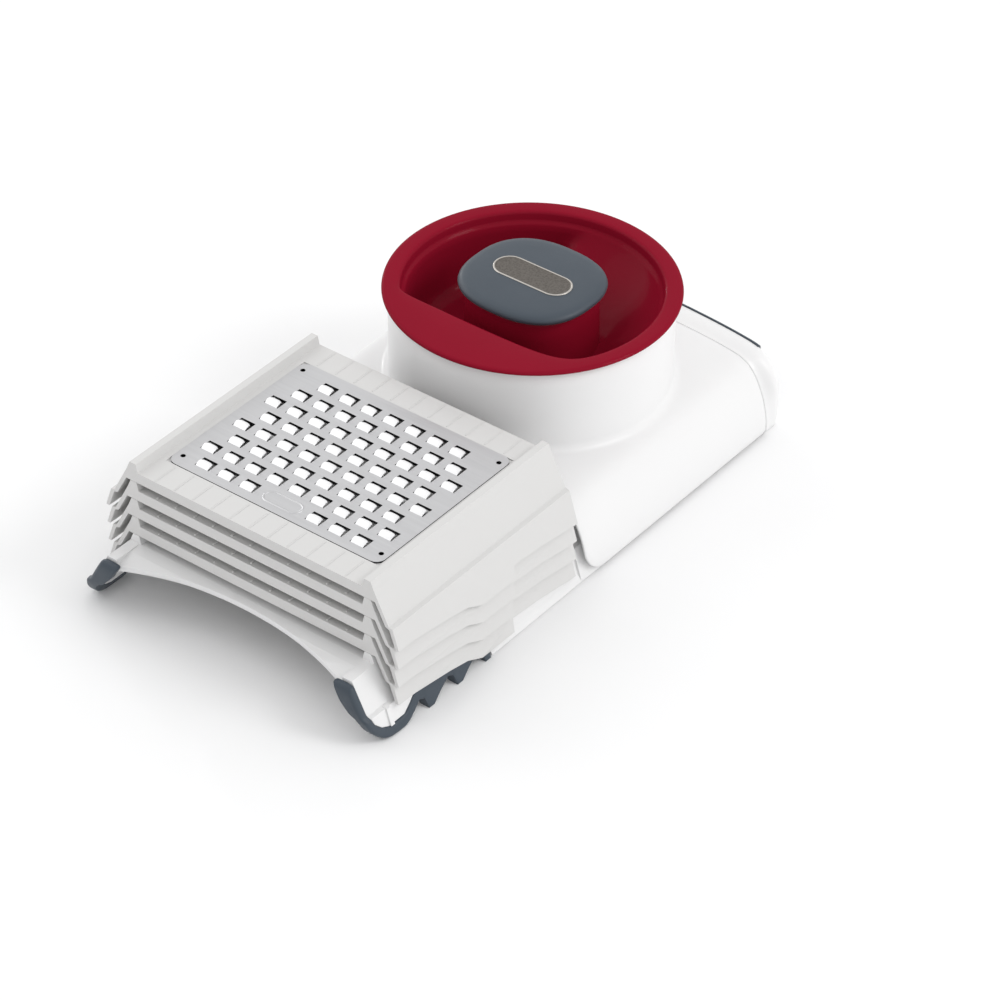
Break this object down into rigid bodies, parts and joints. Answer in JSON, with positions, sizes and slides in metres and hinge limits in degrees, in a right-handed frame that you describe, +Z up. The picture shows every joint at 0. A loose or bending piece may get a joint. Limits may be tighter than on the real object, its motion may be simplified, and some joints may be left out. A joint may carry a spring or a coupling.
{
  "type": "mandoline slicer",
  "caption": "Compact mandoline slicer with stacked blade inserts, a sliding round food hopper, a palm pusher and rubber bowl-rim feet.",
  "frame": {"origin": "on the table under the middle of the overall box", "axes": "+Z up, +Y from the insert stack to the hopper's end, +X to the right seen from the toe"},
  "size_m": [0.1496, 0.266, 0.08],
  "materials": {
    "white_gloss": "gloss",
    "white_satin": "satin",
    "red_gloss": "gloss",
    "slate_rubber": "matte",
    "blade_steel": "brushed",
    "badge_steel": "brushed"
  },
  "bodies": {
    "base": {"base_shell": "white_gloss", "foot_grip_left": "slate_rubber", "foot_grip_right": "slate_rubber", "rear_end_cap": "white_gloss", "rear_grip_pad": "slate_rubber"},
    "thick_insert": {"thick_slice_frame": "white_satin", "thick_slice_blade": "blade_steel", "thick_slice_rivets": "blade_steel"},
    "thin_insert": {"thin_slice_frame": "white_satin", "thin_slice_blade": "blade_steel", "thin_slice_rivets": "blade_steel"},
    "julienne_insert": {"julienne_frame": "white_satin", "julienne_blade": "blade_steel", "julienne_rivets": "blade_steel", "julienne_teeth": "blade_steel"},
    "grater_insert": {"grater_frame": "white_satin", "grater_plate": "blade_steel", "grater_rivets": "blade_steel"},
    "hopper": {"hopper_carriage": "white_gloss"},
    "pusher": {"pusher_cup": "red_gloss", "grip_column": "red_gloss", "grip_cap": "slate_rubber", "grip_badge": "badge_steel", "prong_plate": "red_gloss", "food_prongs": "blade_steel", "prong_plate_screws": "blade_steel"}
  },
  "joints": [
    {"name": "thick_insert_lift", "type": "slide", "parent": "base", "child": "thick_insert", "axis": [0, 0, 1], "range_m": [0, 0.05]},
    {"name": "thin_insert_lift", "type": "slide", "parent": "thick_insert", "child": "thin_insert", "axis": [0, 0, 1], "range_m": [0, 0.05]},
    {"name": "julienne_insert_lift", "type": "slide", "parent": "thin_insert", "child": "julienne_insert", "axis": [0, 0, 1], "range_m": [0, 0.05]},
    {"name": "grater_insert_lift", "type": "slide", "parent": "julienne_insert", "child": "grater_insert", "axis": [0, 0, 1], "range_m": [0, 0.05]},
    {"name": "hopper_slide", "type": "slide", "parent": "base", "child": "hopper", "axis": [0, -1, 0], "range_m": [0, 0.005]},
    {"name": "pusher_lift", "type": "slide", "parent": "hopper", "child": "pusher", "axis": [0, 0, 1], "range_m": [0, 0.045]}
  ]
}
